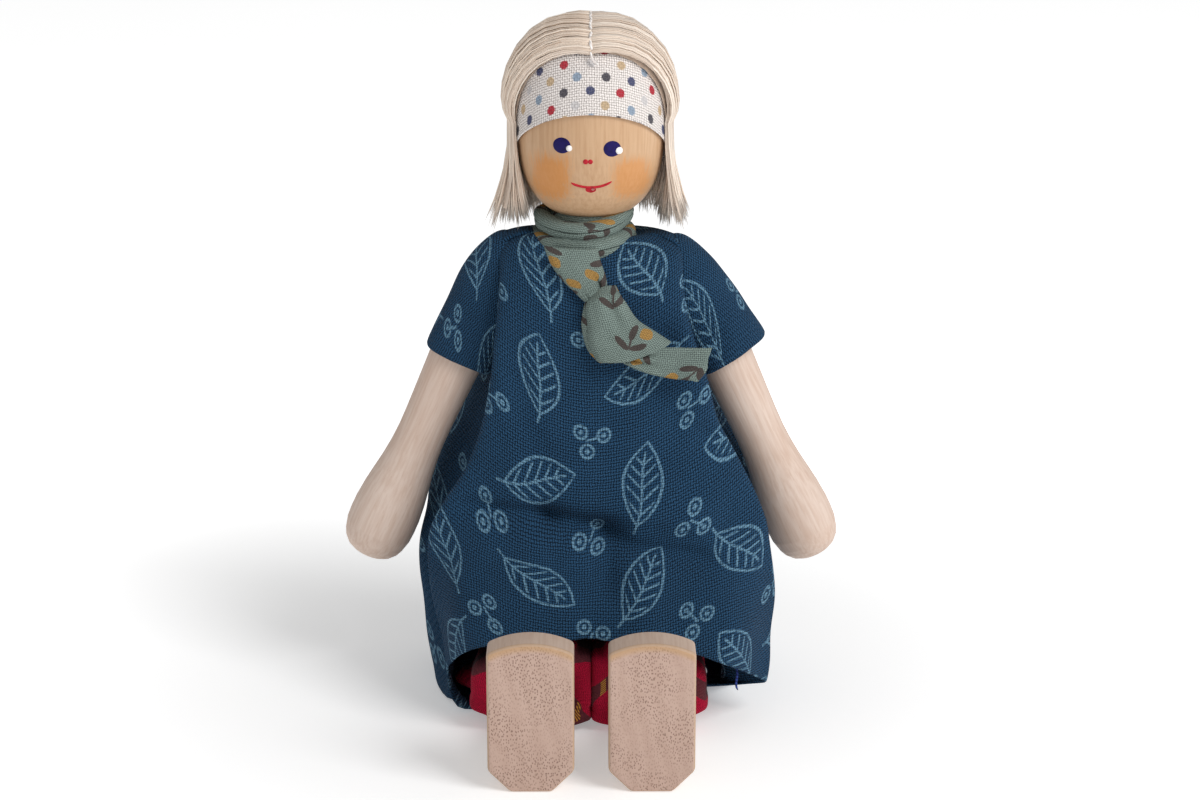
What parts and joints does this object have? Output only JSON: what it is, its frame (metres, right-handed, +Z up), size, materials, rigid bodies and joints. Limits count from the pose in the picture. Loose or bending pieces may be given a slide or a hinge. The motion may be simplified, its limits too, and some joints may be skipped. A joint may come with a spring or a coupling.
{
  "type": "miniature doll",
  "caption": "Small wooden doll that sits or stands, with turning head, swinging arms and legs, floss hair, dotted headband, scarf, printed dress and plaid bloomers.",
  "frame": {"origin": "on the seat plane, under the middle of the hip axis", "axes": "+Z up, the doll faces -Y, its own left side is +X"},
  "size_m": [0.0846, 0.0678, 0.1155],
  "materials": {
    "pale_wood": "sanded bare beech or maple",
    "head_wood": "honey-coloured wood with a painted face",
    "elastic": "covered elastic cord",
    "hair_floss": "pale combed floss",
    "white_thread": "sewing thread",
    "dotted_cotton": "off-white cotton with small dots",
    "scarf_cotton": "sage-green printed cotton",
    "dress_cotton": "indigo plain-weave cotton with a pale line print",
    "plaid_cotton": "crimson plaid cotton"
  },
  "bodies": {
    "torso": {"torso": "pale_wood", "neck_dowel": "pale_wood", "shoulder_elastic": "elastic", "hip_elastic": "elastic", "scarf_wrap": "scarf_cotton", "scarf_drop": "scarf_cotton", "scarf_knot": "scarf_cotton", "scarf_tail": "scarf_cotton", "dress_front": "dress_cotton", "dress_back": "dress_cotton", "bloomer_seat": "plaid_cotton", "waist_elastic": "elastic"},
    "head": {"head": "head_wood", "hair_left": "hair_floss", "hair_right": "hair_floss", "parting_stitch": "white_thread", "headband": "dotted_cotton"},
    "left_arm": {"left_arm": "pale_wood", "left_sleeve": "dress_cotton"},
    "right_arm": {"right_arm": "pale_wood", "right_sleeve": "dress_cotton"},
    "left_leg": {"left_leg": "pale_wood", "left_bloomer_leg": "plaid_cotton"},
    "right_leg": {"right_leg": "pale_wood", "right_bloomer_leg": "plaid_cotton"}
  },
  "joints": [
    {"name": "head_turn", "type": "hinge", "parent": "torso", "child": "head", "pos_m": [0, 0, 0.0811], "axis": [0, 0, 1], "continuous": true},
    {"name": "left_shoulder", "type": "hinge", "parent": "torso", "child": "left_arm", "pos_m": [0.0163, 0, 0.0712], "axis": [-1, 0, 0], "range_deg": [-45, 100]},
    {"name": "right_shoulder", "type": "hinge", "parent": "torso", "child": "right_arm", "pos_m": [-0.0163, 0, 0.0712], "axis": [-1, 0, 0], "range_deg": [-45, 100]},
    {"name": "left_hip", "type": "hinge", "parent": "torso", "child": "left_leg", "pos_m": [0.0094, 0, 0.0062], "axis": [1, 0, 0], "range_deg": [-5, 90]},
    {"name": "right_hip", "type": "hinge", "parent": "torso", "child": "right_leg", "pos_m": [-0.0094, 0, 0.0062], "axis": [1, 0, 0], "range_deg": [-5, 90]}
  ]
}
